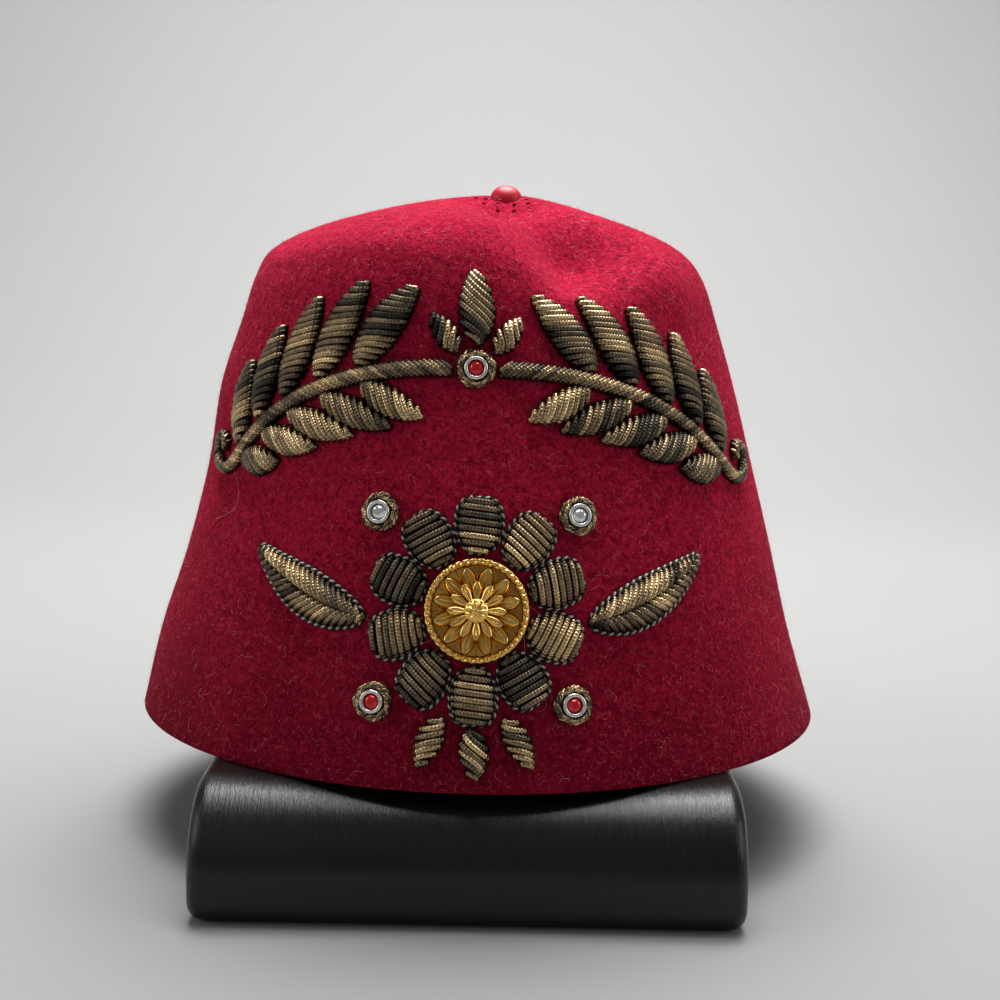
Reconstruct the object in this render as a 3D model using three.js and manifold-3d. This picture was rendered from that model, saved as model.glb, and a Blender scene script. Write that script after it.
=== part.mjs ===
// A felt fez with bullion embroidery, set stones and a gilt boss, resting on a plain black stand.
// Units are millimetres and +Z is up. The stand's base is at z = 0, centred on the origin.
// The front of the hat faces -Y.

import * as THREE from 'three';
import { mergeVertices } from 'three/addons/utils/BufferGeometryUtils.js';
import Module from 'manifold-3d';

const wasm = await Module();
wasm.setup();

const { degToRad } = THREE.MathUtils;

// Driving dimensions
const GAP = 0.3;
const STITCH_GAP = 0.45;
const FELT_WALL = 2.2;
const OVAL_TURN = degToRad(-7);
const STAND = { width: 139, depth: 197, height: 33, topRound: 22, baseRound: 6, endRound: 4 };
const BUTTON = { radius: 4.6, neck: 4.1, height: 4.4, lean: degToRad(16) };
const VENT_RADIUS = 0.7;
const PAD_HEIGHT = 2.6;
const STEM_HALF = 1.8;
const FLOWER = { rise: 44, petals: 10, petalStart: 13.9, petalEnd: 27.5, petalGap: 0.9 };
const BOSS = { radius: 13.2, rimHeight: 2.4, domeHeight: 5.4, petals: 12 };
const NEST = { inner: 3.1, outer: 4.9, height: 2.2 };
const BEZEL = { radius: 2.75, mouth: 2.05, floor: 1, height: 2.9 };
const STONE = { girdle: 1.8, table: 1.05, crown: 0.75, pavilion: 1.25 };

// How finely the curved solids are divided
const FELT_SIDES = 56;
const FELT_LEVELS = 20;
const PAD_SIDES = 5;
const ROUND_SIDES = 12;

// Outside of the crown, a row for each level from the rim up to the middle of the top.
// wide and deep are half sizes of the oval, and shift moves its middle sideways.
const SECTIONS = [
  { rise: 0, wide: 100.5, deep: 92, shift: 0.5 },
  { rise: 23.5, wide: 94, deep: 87, shift: -0.3 },
  { rise: 47, wide: 87, deep: 81.5, shift: 0.5 },
  { rise: 71, wide: 80.7, deep: 76, shift: 0.6 },
  { rise: 94.5, wide: 75.7, deep: 71, shift: -0.8 },
  { rise: 113.5, wide: 69.3, deep: 66, shift: -0.8 },
  { rise: 125.5, wide: 64.8, deep: 61.8, shift: -1.3 },
  { rise: 133.2, wide: 59, deep: 57, shift: -2 },
  { rise: 139.8, wide: 46.7, deep: 47, shift: -1 },
  { rise: 145.5, wide: 29, deep: 31, shift: 1.5 },
  { rise: 149.3, wide: 12.4, deep: 13.3, shift: 5 },
  { rise: 150.7, wide: 0, deep: 0, shift: 6.5 },
];

// Hollows pressed into the felt towards its heart; a negative depth is a bulge.
const HEART = new THREE.Vector3(0, 0, 60);
const DENTS = [
  { place: 'slope at the button', x: 6, y: -15, rise: 150, depth: 5.5, reach: 11 },
  { place: 'trough below the button', x: 4, y: -30, rise: 147, depth: 3.5, reach: 15 },
  { place: 'deepest hollow', x: 27, y: -45, rise: 139, depth: 12, reach: 15 },
  { place: 'front lip of the hollow', x: 25, y: -57, rise: 132, depth: 3.5, reach: 8 },
  { place: 'ridge to the left of the hollow', x: 0, y: -46, rise: 136, depth: -2.5, reach: 12 },
  { place: 'lip to the right of the hollow', x: 52, y: -46, rise: 127, depth: -3, reach: 14 },
  { place: 'right shoulder', x: 60, y: -12, rise: 134, depth: -1.5, reach: 18 },
  { place: 'left front shoulder', x: -25, y: -57, rise: 129, depth: -3.5, reach: 26 },
];

// Rings of vent holes in the top, round the button
const VENT_RINGS = [
  { radius: 6.4, count: 8 },
  { radius: 9, count: 12 },
];

// Garland: the stems leave the knot, follow the arch and end in curls.
const GARLAND = {
  knotRise: 103,
  start: 6,
  arch: 76,
  archTurn: degToRad(-40),
  curl: 30,
  curlTurn: degToRad(330),
};
const LEAF_PAIRS = [
  { along: 24, outer: 24, inner: 17 },
  { along: 36.5, outer: 27, inner: 20 },
  { along: 49, outer: 27, inner: 20 },
  { along: 61.5, outer: 25, inner: 19 },
  { along: 74, outer: 22, inner: 15 },
];
const LEAF_ANGLE = degToRad(42);
const LEAF_HALF = { outer: 4.2, inner: 3.5 };

// Single leaves: base point on the felt, heading from the horizontal, length, half width and sideways bend
const SINGLE_LEAVES = [
  { name: 'crest_leaf_middle', x: 0, rise: 109, heading: 90, length: 17, half: 4.2, bend: 0 },
  { name: 'crest_leaf_left', x: -4.6, rise: 107.3, heading: 130, length: 10, half: 2.7, bend: 0 },
  { name: 'crest_leaf_right', x: 4.6, rise: 107.3, heading: 50, length: 10, half: 2.7, bend: 0 },
  { name: 'calyx_leaf_middle', x: 0, rise: 15.6, heading: -90, length: 12, half: 3.4, bend: 0 },
  { name: 'calyx_leaf_left', x: -8, rise: 18, heading: -122, length: 13, half: 3, bend: 1.5 },
  { name: 'calyx_leaf_right', x: 8, rise: 18, heading: -58, length: 13, half: 3, bend: -1.5 },
  { name: 'spray_leaf_left', x: -29, rise: 41, heading: 172, length: 35, half: 6, bend: -9 },
  { name: 'spray_leaf_right', x: 29, rise: 41, heading: 8, length: 35, half: 6, bend: 9 },
];

const STONES = [
  { name: 'knot', x: 0, rise: 103, colour: 'red' },
  { name: 'upper_left', x: -25, rise: 67, colour: 'clear' },
  { name: 'upper_right', x: 25, rise: 67, colour: 'clear' },
  { name: 'lower_left', x: -25, rise: 21, colour: 'red' },
  { name: 'lower_right', x: 25, rise: 21, colour: 'red' },
];

const FINISHES = {
  felt: { color: '#7c1226', roughness: 0.95, metalness: 0 },
  button: { color: '#b8152f', roughness: 0.22, metalness: 0 },
  bullion: { color: '#66523c', roughness: 0.42, metalness: 0.75 },
  gilt: { color: '#d8a63c', roughness: 0.22, metalness: 1 },
  silver: { color: '#cfccc4', roughness: 0.25, metalness: 1 },
  red: { color: '#b30a14', roughness: 0.05, metalness: 0 },
  clear: { color: '#e6eef0', roughness: 0.05, metalness: 0 },
  stand: { color: '#141414', roughness: 0.42, metalness: 0 },
};

// Solids

function signedVolume(geometry) {
  const points = geometry.getAttribute('position');
  const corners = geometry.getIndex().array;
  const [a, b, c] = [new THREE.Vector3(), new THREE.Vector3(), new THREE.Vector3()];
  let sum = 0;
  for (let i = 0; i < corners.length; i += 3) {
    a.fromBufferAttribute(points, corners[i]);
    b.fromBufferAttribute(points, corners[i + 1]);
    c.fromBufferAttribute(points, corners[i + 2]);
    sum += a.dot(b.cross(c)) / 6;
  }
  return sum;
}

// Joins the corners that coincide, drops empty triangles and turns the faces outward.
function closed(geometry) {
  geometry.deleteAttribute('uv');
  geometry.deleteAttribute('normal');
  const merged = mergeVertices(geometry, 1e-4);
  const old = merged.getIndex().array;
  const kept = [];
  for (let i = 0; i < old.length; i += 3) {
    const [a, b, c] = [old[i], old[i + 1], old[i + 2]];
    if (a !== b && b !== c && c !== a) kept.push(a, b, c);
  }
  merged.setIndex(kept);
  if (signedVolume(merged) < 0) merged.setIndex(kept.reverse());
  merged.computeVertexNormals();
  return merged;
}

function fromCorners(points, corners) {
  const geometry = new THREE.BufferGeometry().setFromPoints(points);
  geometry.setIndex(corners);
  return closed(geometry);
}

// Skins a row of like rings and closes both ends with fans.
function fromRings(rings) {
  const sides = rings[0].length;
  const points = rings.flat();
  const corners = [];
  for (let i = 0; i + 1 < rings.length; i++) {
    for (let k = 0; k < sides; k++) {
      const a = i * sides + k;
      const b = i * sides + (k + 1) % sides;
      corners.push(a, b, a + sides, b, b + sides, a + sides);
    }
  }
  const end = (rings.length - 1) * sides;
  for (let k = 1; k + 1 < sides; k++) {
    corners.push(0, k + 1, k, end, end + k, end + k + 1);
  }
  return fromCorners(points, corners);
}

function turned(profile, sides) {
  const points = profile.map(([radius, height]) => new THREE.Vector2(radius, height));
  return closed(new THREE.LatheGeometry(points, sides).rotateX(Math.PI / 2));
}

function toManifold(geometry) {
  const vertProperties = new Float32Array(geometry.getAttribute('position').array);
  const triVerts = new Uint32Array(geometry.getIndex().array);
  return new wasm.Manifold(new wasm.Mesh({ numProp: 3, vertProperties, triVerts }));
}

function fromManifold(body) {
  const mesh = body.getMesh();
  const geometry = new THREE.BufferGeometry();
  geometry.setAttribute('position', new THREE.BufferAttribute(new Float32Array(mesh.vertProperties), 3));
  geometry.setIndex(Array.from(mesh.triVerts));
  return closed(geometry);
}

// Surface of the felt

// The row beyond each end keeps the rim straight and the top smooth.
function sectionRow(k) {
  const last = SECTIONS.length - 1;
  if (k >= 0 && k <= last) return SECTIONS[k];
  const edge = k < 0 ? SECTIONS[0] : SECTIONS[last];
  const next = k < 0 ? SECTIONS[1] : SECTIONS[last - 1];
  return {
    rise: k < 0 ? 2 * edge.rise - next.rise : next.rise,
    wide: 2 * edge.wide - next.wide,
    deep: 2 * edge.deep - next.deep,
    shift: 2 * edge.shift - next.shift,
  };
}

function sectionAt(level, column) {
  const k = Math.min(Math.max(Math.floor(level), 0), SECTIONS.length - 2);
  const t = level - k;
  const [p0, p1, p2, p3] = [k - 1, k, k + 1, k + 2].map((row) => sectionRow(row)[column]);
  const curve = 2 * p1 + (p2 - p0) * t + (2 * p0 - 5 * p1 + 4 * p2 - p3) * t * t
    + (3 * p1 - p0 - 3 * p2 + p3) * t * t * t;
  return curve / 2;
}

// Point of the outside at an angle from the front and a level counted in rows of SECTIONS
function feltPoint(angle, level) {
  const around = angle - OVAL_TURN;
  const point = new THREE.Vector3(
    sectionAt(level, 'shift') + sectionAt(level, 'wide') * Math.sin(around),
    -sectionAt(level, 'deep') * Math.cos(around),
    sectionAt(level, 'rise'),
  );
  point.applyAxisAngle(new THREE.Vector3(0, 0, 1), OVAL_TURN);
  const inward = HEART.clone().sub(point).normalize();
  let push = 0;
  for (const dent of DENTS) {
    const away = point.distanceToSquared(new THREE.Vector3(dent.x, dent.y, dent.rise));
    push += dent.depth * Math.exp(-away / dent.reach ** 2);
  }
  return point.addScaledVector(inward, push);
}

function feltNormal(angle, level) {
  const step = 0.02;
  const top = SECTIONS.length - 1;
  const around = feltPoint(angle + step, level).sub(feltPoint(angle - step, level));
  const upper = feltPoint(angle, Math.min(level + step, top));
  const up = upper.sub(feltPoint(angle, Math.max(level - step, 0)));
  return around.cross(up).normalize();
}

function levelAtRise(rise) {
  let low = 0;
  let high = SECTIONS.length - 2;
  for (let i = 0; i < 40; i++) {
    const middle = (low + high) / 2;
    if (sectionAt(middle, 'rise') < rise) low = middle;
    else high = middle;
  }
  return low;
}

// Place over the felt: x runs round the hat from the front's middle, and rise is the height above the rim.
function overFelt(x, rise, lift) {
  const level = levelAtRise(rise);
  const angle = x / sectionAt(level, 'wide');
  return feltPoint(angle, level).addScaledVector(feltNormal(angle, level), lift);
}

function crownShell() {
  const points = [];
  const corners = [];
  const top = SECTIONS.length - 1;
  const skins = [0, FELT_WALL];
  const skinSize = FELT_SIDES * FELT_LEVELS + 1;
  for (const depth of skins) {
    for (let i = 0; i < FELT_LEVELS; i++) {
      const level = top * i / FELT_LEVELS;
      for (let k = 0; k < FELT_SIDES; k++) {
        const angle = 2 * Math.PI * k / FELT_SIDES;
        const inward = feltNormal(angle, level).negate();
        if (i === 0) inward.setZ(0).normalize();
        points.push(feltPoint(angle, level).addScaledVector(inward, depth));
      }
    }
    const apex = feltPoint(0, top);
    points.push(apex.setZ(apex.z - depth));
  }
  skins.forEach((depth, skin) => {
    const first = skin * skinSize;
    const face = (a, b, c) => (skin === 0 ? corners.push(a, b, c) : corners.push(a, c, b));
    for (let i = 0; i < FELT_LEVELS; i++) {
      for (let k = 0; k < FELT_SIDES; k++) {
        const a = first + i * FELT_SIDES + k;
        const b = first + i * FELT_SIDES + (k + 1) % FELT_SIDES;
        if (i === FELT_LEVELS - 1) {
          face(a, b, first + skinSize - 1);
        } else {
          face(a, b, a + FELT_SIDES);
          face(b, b + FELT_SIDES, a + FELT_SIDES);
        }
      }
    }
  });
  for (let k = 0; k < FELT_SIDES; k++) {
    const next = (k + 1) % FELT_SIDES;
    corners.push(k, skinSize + k, next, next, skinSize + k, skinSize + next);
  }
  return fromCorners(points, corners);
}

// A vent is a small pin's hole straight through the felt near the top.
function feltCrown() {
  let body = toManifold(crownShell());
  const apex = feltPoint(0, SECTIONS.length - 1);
  for (const ring of VENT_RINGS) {
    for (let k = 0; k < ring.count; k++) {
      const angle = 2 * Math.PI * (k + 0.5) / ring.count;
      const pin = new THREE.CylinderGeometry(VENT_RADIUS, VENT_RADIUS, 6 * FELT_WALL, 6);
      pin.rotateX(Math.PI / 2);
      const x = apex.x + ring.radius * Math.sin(angle);
      const y = apex.y - ring.radius * Math.cos(angle);
      pin.translate(x, y, apex.z - 3);
      body = body.subtract(toManifold(closed(pin)));
    }
  }
  return fromManifold(body);
}

function topButton() {
  const { radius, neck, height } = BUTTON;
  const profile = [[0, 0], [neck, 0], [radius, 0.25 * height]];
  for (const rise of [0.5, 0.75, 0.92]) {
    profile.push([radius * Math.sqrt(1 - ((rise - 0.25) / 0.75) ** 2), rise * height]);
  }
  profile.push([0, height]);
  return turned(profile, 18);
}

// Embroidery

// A padded strip of bullion that follows a path over the felt; half(t) is half its width.
function paddedStrip(path, half, steps) {
  const widest = Math.max(...Array.from({ length: 21 }, (_, i) => half(i / 20)));
  const rings = [];
  for (let i = 0; i <= steps; i++) {
    const t = i / steps;
    const here = path(t);
    const along = path(Math.min(t + 0.01, 1)).sub(path(Math.max(t - 0.01, 0))).normalize();
    const across = new THREE.Vector2(-along.y, along.x);
    const height = PAD_HEIGHT * Math.min(1, 0.35 + 0.75 * half(t) / widest);
    const ring = [];
    for (let k = 0; k < PAD_SIDES; k++) {
      const angle = Math.PI * k / (PAD_SIDES - 1);
      const spot = here.clone().addScaledVector(across, half(t) * Math.cos(angle));
      ring.push(overFelt(spot.x, spot.y, STITCH_GAP + height * Math.sin(angle)));
    }
    rings.push(ring);
  }
  return fromRings(rings);
}

function leaf({ x, rise, heading, length, half, bend }) {
  const along = new THREE.Vector2(Math.cos(heading), Math.sin(heading));
  const across = new THREE.Vector2(-along.y, along.x);
  const path = (t) => new THREE.Vector2(x, rise).addScaledVector(along, length * t)
    .addScaledVector(across, bend * t * t);
  const width = (t) => half * (0.14 + 0.86 * Math.sin(Math.PI * t ** 0.85) ** 0.8);
  return paddedStrip(path, width, Math.max(5, Math.round(length / 4.2)));
}

// Points of a stem, stepped along its length from the knot; side is 1 on the right and -1 on the left.
function stemPoints(side) {
  const { knotRise, start, arch, archTurn, curl, curlTurn } = GARLAND;
  const step = 1;
  const points = [new THREE.Vector2(side * start, knotRise)];
  let heading = 0;
  for (let done = 0; done < arch + curl; done += step) {
    const wound = (done - arch) / curl;
    heading += done < arch ? archTurn * step / arch : curlTurn * 2 * wound * step / curl;
    const last = points[points.length - 1];
    points.push(last.clone().add(new THREE.Vector2(side * Math.cos(heading), Math.sin(heading))));
  }
  return points;
}

function stemSolid(points) {
  const curve = new THREE.SplineCurve(points);
  const width = (t) => STEM_HALF * (1 - 0.45 * t);
  return paddedStrip((t) => curve.getPoint(t), width, 28);
}

function garlandLeaves(points, side) {
  const leaves = [];
  LEAF_PAIRS.forEach((pair, i) => {
    const here = points[Math.round(pair.along)];
    const back = points[Math.round(pair.along) - 1];
    const inward = Math.atan2(back.y - here.y, back.x - here.x);
    for (const [place, sign] of [['outer', -side], ['inner', side]]) {
      const across = inward + sign * Math.PI / 2;
      const clear = STEM_HALF + 0.75;
      leaves.push({
        name: `garland_leaf_${side > 0 ? 'right' : 'left'}_${place}_${i + 1}`,
        x: here.x + clear * Math.cos(across),
        rise: here.y + clear * Math.sin(across),
        heading: inward + sign * LEAF_ANGLE,
        length: pair[place],
        half: LEAF_HALF[place],
        bend: -sign * 2,
      });
    }
  });
  return leaves;
}

// A petal fills its share of the ring, less a gap, and is rounded off at both ends.
function flowerPetal(k) {
  const { rise, petals, petalStart, petalEnd, petalGap } = FLOWER;
  const heading = 2 * Math.PI * (k + 0.5) / petals;
  const along = new THREE.Vector2(Math.cos(heading), Math.sin(heading));
  const part = (t) => (1 - Math.cos(Math.PI * t)) / 2;
  const radius = (t) => petalStart + (petalEnd - petalStart) * part(t);
  const path = (t) => new THREE.Vector2(0, rise).addScaledVector(along, radius(t));
  const width = (t) => {
    const room = radius(t) * Math.tan(Math.PI / petals) - petalGap / 2;
    const rounding = Math.sqrt(1 - Math.abs(2 * part(t) - 1) ** 3);
    return Math.min(room, 5.8) * (0.3 + 0.7 * rounding);
  };
  return paddedStrip(path, width, 8);
}

// Height of the boss's face: a raised rim, a ring of petals and a round middle
function bossHeight(part, angle) {
  const { rimHeight, domeHeight, petals } = BOSS;
  const petal = Math.abs(Math.cos(petals * angle / 2));
  if (part > 0.86) return rimHeight;
  if (part < 0.34) return domeHeight * (0.75 + 0.25 * Math.cos(part / 0.34 * Math.PI / 2));
  return THREE.MathUtils.lerp(rimHeight * 0.75, domeHeight * 0.72, petal * Math.sin((0.95 - part) * 2.2));
}

function giltBoss() {
  const sides = 3 * BOSS.petals;
  const parts = [1, 0.94, 0.86, 0.7, 0.5, 0.34, 0.18];
  const rings = [];
  const ring = (part, height) => Array.from({ length: sides }, (_, k) => {
    const angle = 2 * Math.PI * k / sides;
    const radius = BOSS.radius * part;
    return new THREE.Vector3(radius * Math.cos(angle), radius * Math.sin(angle), height(angle));
  });
  rings.push(ring(1, () => 0));
  for (const part of parts) {
    rings.push(ring(part, (angle) => (part === 1 ? 0.6 * BOSS.rimHeight : bossHeight(part, angle))));
  }
  return fromRings(rings);
}

function wireNest() {
  const { inner, outer, height } = NEST;
  const middle = (inner + outer) / 2;
  const shoulder = 0.55 * height;
  const outside = [[inner, 0], [outer, 0], [outer, shoulder]];
  const inside = [[middle, height], [inner, shoulder], [inner, 0]];
  return turned([...outside, ...inside], ROUND_SIDES);
}

function bezel() {
  const { radius, mouth, floor, height } = BEZEL;
  const lip = (radius + mouth) / 2;
  const outside = [[0, 0], [radius, 0], [radius, height - 0.4], [lip, height]];
  const inside = [[mouth, height - 0.3], [mouth, floor], [0, floor]];
  return turned([...outside, ...inside], ROUND_SIDES);
}

// Faceted stone with an eight-sided table, crown facets, girdle and pointed pavilion
function stone() {
  const { girdle, table, crown, pavilion } = STONE;
  const edge = 0.15;
  const profile = [[0, -pavilion], [girdle, 0], [girdle, edge], [table, edge + crown], [0, edge + crown]];
  return turned(profile, 8);
}

// Round-edged block: every section across X is the same rounded outline, drawn in towards both ends.
function standBlock() {
  const { width, depth, height, topRound, baseRound, endRound } = STAND;
  const outline = (inset) => {
    const points = [];
    const corner = (side, top) => {
      const radius = (top ? topRound : baseRound) - inset;
      const steps = top ? 6 : 3;
      const y = side * (depth / 2 - inset - radius);
      const z = top ? height - inset - radius : inset + radius;
      for (let i = 0; i <= steps; i++) {
        const turn = (side > 0 ? 0 : Math.PI / 2) + (top ? 0 : Math.PI) + (i / steps) * Math.PI / 2;
        const bend = top ? turn : turn + (side > 0 ? Math.PI / 2 : -Math.PI / 2);
        points.push([y + radius * Math.cos(bend), z + radius * Math.sin(bend)]);
      }
    };
    corner(1, true);
    corner(-1, true);
    corner(-1, false);
    corner(1, false);
    return points;
  };
  const stations = [];
  const steps = 4;
  for (let i = 0; i <= steps; i++) {
    const turn = (i / steps) * Math.PI / 2;
    stations.push({ x: width / 2 - endRound * (1 - Math.cos(turn)), inset: endRound * (1 - Math.sin(turn)) });
  }
  stations.reverse();
  const rings = [];
  for (const side of [-1, 1]) {
    const order = side < 0 ? [...stations].reverse() : stations;
    for (const { x, inset } of order) {
      rings.push(outline(inset).map(([y, z]) => new THREE.Vector3(side * x, y, z)));
    }
  }
  return fromRings(rings);
}

// Assembly

function piece(name, geometry, finish) {
  const mesh = new THREE.Mesh(geometry, new THREE.MeshStandardMaterial(FINISHES[finish]));
  mesh.name = name;
  return mesh;
}

// Stands a flat-backed piece on the felt with its own +Z along the felt's normal.
function placeOnFelt(mesh, x, rise, lift) {
  const level = levelAtRise(rise);
  const normal = feltNormal(x / sectionAt(level, 'wide'), level);
  const right = new THREE.Vector3(0, 0, 1).cross(normal).normalize();
  const up = normal.clone().cross(right);
  mesh.quaternion.setFromRotationMatrix(new THREE.Matrix4().makeBasis(right, up, normal));
  mesh.position.copy(overFelt(x, rise, lift));
  return mesh;
}

function garland() {
  const group = new THREE.Group();
  group.name = 'garland';
  for (const side of [-1, 1]) {
    const points = stemPoints(side);
    const word = side > 0 ? 'right' : 'left';
    group.add(piece(`garland_stem_${word}`, stemSolid(points), 'bullion'));
    for (const spec of garlandLeaves(points, side)) {
      group.add(piece(spec.name, leaf(spec), 'bullion'));
    }
  }
  return group;
}

function flower() {
  const group = new THREE.Group();
  group.name = 'flower';
  group.add(placeOnFelt(piece('gilt_boss', giltBoss(), 'gilt'), 0, FLOWER.rise, GAP + 0.1));
  for (let k = 0; k < FLOWER.petals; k++) {
    group.add(piece(`flower_petal_${k + 1}`, flowerPetal(k), 'bullion'));
  }
  return group;
}

function setStones() {
  const group = new THREE.Group();
  group.name = 'stones';
  for (const { name, x, rise, colour } of STONES) {
    group.add(placeOnFelt(piece(`wire_nest_${name}`, wireNest(), 'bullion'), x, rise, GAP));
    group.add(placeOnFelt(piece(`bezel_${name}`, bezel(), 'silver'), x, rise, GAP));
    const lift = GAP + BEZEL.floor + 0.25 + STONE.pavilion;
    group.add(placeOnFelt(piece(`stone_${name}`, stone(), colour), x, rise, lift));
  }
  return group;
}

function hat() {
  const group = new THREE.Group();
  group.name = 'hat';
  group.position.z = STAND.height + GAP;
  group.add(piece('felt_crown', feltCrown(), 'felt'));
  const button = piece('top_button', topButton(), 'button');
  button.rotation.x = BUTTON.lean;
  button.position.copy(feltPoint(0, SECTIONS.length - 1));
  button.position.z += GAP;
  group.add(button, garland(), flower(), setStones());
  for (const spec of SINGLE_LEAVES) {
    group.add(piece(spec.name, leaf({ ...spec, heading: degToRad(spec.heading) }), 'bullion'));
  }
  return group;
}

const fez = new THREE.Group();
fez.name = 'fez_on_stand';
fez.add(piece('stand', standBlock(), 'stand'), hat());

export default fez;
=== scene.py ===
"""A felt fez with bullion embroidery, a gilt boss and set stones, resting on a plain black stand."""

import math

import bmesh
import bpy
import numpy as np
from bpy.props import FloatProperty, FloatVectorProperty, IntProperty, PointerProperty
from mathutils import Matrix, Vector


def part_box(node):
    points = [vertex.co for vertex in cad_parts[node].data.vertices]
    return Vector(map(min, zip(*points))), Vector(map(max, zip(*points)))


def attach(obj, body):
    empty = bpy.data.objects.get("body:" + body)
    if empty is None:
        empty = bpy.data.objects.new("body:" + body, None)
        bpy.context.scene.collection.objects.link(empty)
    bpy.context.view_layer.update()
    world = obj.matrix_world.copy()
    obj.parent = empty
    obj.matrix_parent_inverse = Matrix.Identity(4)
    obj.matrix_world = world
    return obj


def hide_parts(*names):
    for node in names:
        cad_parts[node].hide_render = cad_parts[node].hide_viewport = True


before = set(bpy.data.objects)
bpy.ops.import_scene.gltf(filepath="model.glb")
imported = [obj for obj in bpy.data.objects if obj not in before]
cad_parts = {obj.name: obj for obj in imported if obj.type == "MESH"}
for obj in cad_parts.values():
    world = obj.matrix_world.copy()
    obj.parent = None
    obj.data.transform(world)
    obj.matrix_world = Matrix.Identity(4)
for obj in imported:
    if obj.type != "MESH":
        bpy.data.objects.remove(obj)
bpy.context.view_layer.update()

bl_info = {
    "name": "Fez on a Stand",
    "version": (1, 0, 0),
    "blender": (4, 5, 0),
    "location": "View3D > Sidebar > Fez",
    "description": "Dresses a felt fez with its embroidery, stones and stand",
    "category": "Add Mesh",
}

MM = 0.001
RIM_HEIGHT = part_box("felt_crown")[0].z / MM
SEED = 7

# Outside of the crown, a row for each level from the rim up to the middle of the top, in millimetres:
# rise above the rim, half width and half depth of the oval, and shift of its middle to the side
OVAL_TURN = math.radians(-7)
SECTIONS = [
    (0, 100.5, 92, 0.5),
    (23.5, 94, 87, -0.3),
    (47, 87, 81.5, 0.5),
    (71, 80.7, 76, 0.6),
    (94.5, 75.7, 71, -0.8),
    (113.5, 69.3, 66, -0.8),
    (125.5, 64.8, 61.8, -1.3),
    (133.2, 59, 57, -2),
    (139.8, 46.7, 47, -1),
    (145.5, 29, 31, 1.5),
    (149.3, 12.4, 13.3, 5),
    (150.7, 0, 0, 6.5),
]
TOP_LEVEL = len(SECTIONS) - 1

# Hollows pressed into the felt towards its heart; a negative depth is a bulge.
HEART = (0, 0, 60)
DENTS = [
    dict(place="slope at the button", at=(6, -15, 150), depth=5.5, reach=11),
    dict(place="trough below the button", at=(4, -30, 147), depth=3.5, reach=15),
    dict(place="deepest hollow", at=(27, -45, 139), depth=12, reach=15),
    dict(place="front lip of the hollow", at=(25, -57, 132), depth=3.5, reach=8),
    dict(place="ridge to the left of the hollow", at=(0, -46, 136), depth=-2.5, reach=12),
    dict(place="lip to the right of the hollow", at=(52, -46, 127), depth=-3, reach=14),
    dict(place="right shoulder", at=(60, -12, 134), depth=-1.5, reach=18),
    dict(place="left front shoulder", at=(-25, -57, 129), depth=-3.5, reach=26),
]

# Faint waviness of the whole wall
RIPPLE = dict(depth=0.25, folds=5, slope=0.045, height=17, fade=30)

# Vent holes and button in the middle of the top
VENT_RINGS = [dict(radius=6.4, count=8), dict(radius=9, count=12)]
VENT_PIN = dict(radius=0.7, length=16, sink=3)
BUTTON = dict(radius=4.6, height=4.4, dome=0.86, sink=0.12, lean=math.radians(16))

# Embroidery, laid out in millimetres round the front and above the rim
STEM_HALF = 1.8
STEM = dict(
    knot_rise=103, start=6, arch=76, arch_turn=math.radians(-40), curl=30, curl_turn=math.radians(330))
LEAF_PAIRS = [
    dict(along=24, outer=24, inner=17),
    dict(along=36.5, outer=27, inner=20),
    dict(along=49, outer=27, inner=20),
    dict(along=61.5, outer=25, inner=19),
    dict(along=74, outer=22, inner=15),
]
LEAF_ANGLE = math.radians(42)
LEAF_HALF = dict(outer=4.2, inner=3.5)
SINGLE_LEAVES = [
    dict(node="crest_leaf_middle", x=0, rise=109, heading=90, length=17, half=4.2, bend=0),
    dict(node="crest_leaf_left", x=-4.6, rise=107.3, heading=130, length=10, half=2.7, bend=0),
    dict(node="crest_leaf_right", x=4.6, rise=107.3, heading=50, length=10, half=2.7, bend=0),
    dict(node="calyx_leaf_middle", x=0, rise=15.6, heading=-90, length=12, half=3.4, bend=0),
    dict(node="calyx_leaf_left", x=-8, rise=18, heading=-122, length=13, half=3, bend=1.5),
    dict(node="calyx_leaf_right", x=8, rise=18, heading=-58, length=13, half=3, bend=-1.5),
]
SPRAY_LEAVES = [
    dict(node="spray_leaf_left", x=-29, rise=41, heading=172, length=35, half=6, bend=-9),
    dict(node="spray_leaf_right", x=29, rise=41, heading=8, length=35, half=6, bend=9),
]
FLOWER = dict(rise=44, petals=10, start=13.9, end=27.5, gap=0.9, half=5.8)
BOSS = dict(radius=13.2, petals=12, rim=1.4, rope=12.2, ground=11.2, middle=3.1)
STONES = [
    dict(name="knot", x=0, rise=103, colour="red"),
    dict(name="upper_left", x=-25, rise=67, colour="clear"),
    dict(name="upper_right", x=25, rise=67, colour="clear"),
    dict(name="lower_left", x=-25, rise=21, colour="red"),
    dict(name="lower_right", x=25, rise=21, colour="red"),
]
BEZEL = dict(radius=3.0, height=2.9, lip=0.95, depth=1.9, rounding=0.4, lift=0.3, stone_lift=2.45)
BRILLIANT = [
    dict(count=8, radius=1.0, rise=0.78, turn=0.0),
    dict(count=8, radius=1.42, rise=0.54, turn=0.5),
    dict(count=16, radius=1.8, rise=0.12, turn=0.0),
    dict(count=16, radius=1.8, rise=0.0, turn=0.0),
    dict(count=8, radius=0.85, rise=-0.72, turn=0.5),
    dict(count=1, radius=0.0, rise=-1.2, turn=0.0),
]
NEST_RINGS = [
    dict(middle=4.15, rise=0.95, spread=0.5, wire=0.28, turns=7),
    dict(middle=3.8, rise=1.9, spread=0.26, wire=0.18, turns=9),
]

# Laid wires: spacing and seat over the pad in wire diameters, and depth of their ends in the felt
WIRE_PITCH = 1.03
WIRE_SEAT = 0.35
TUCK = 0.25


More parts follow.
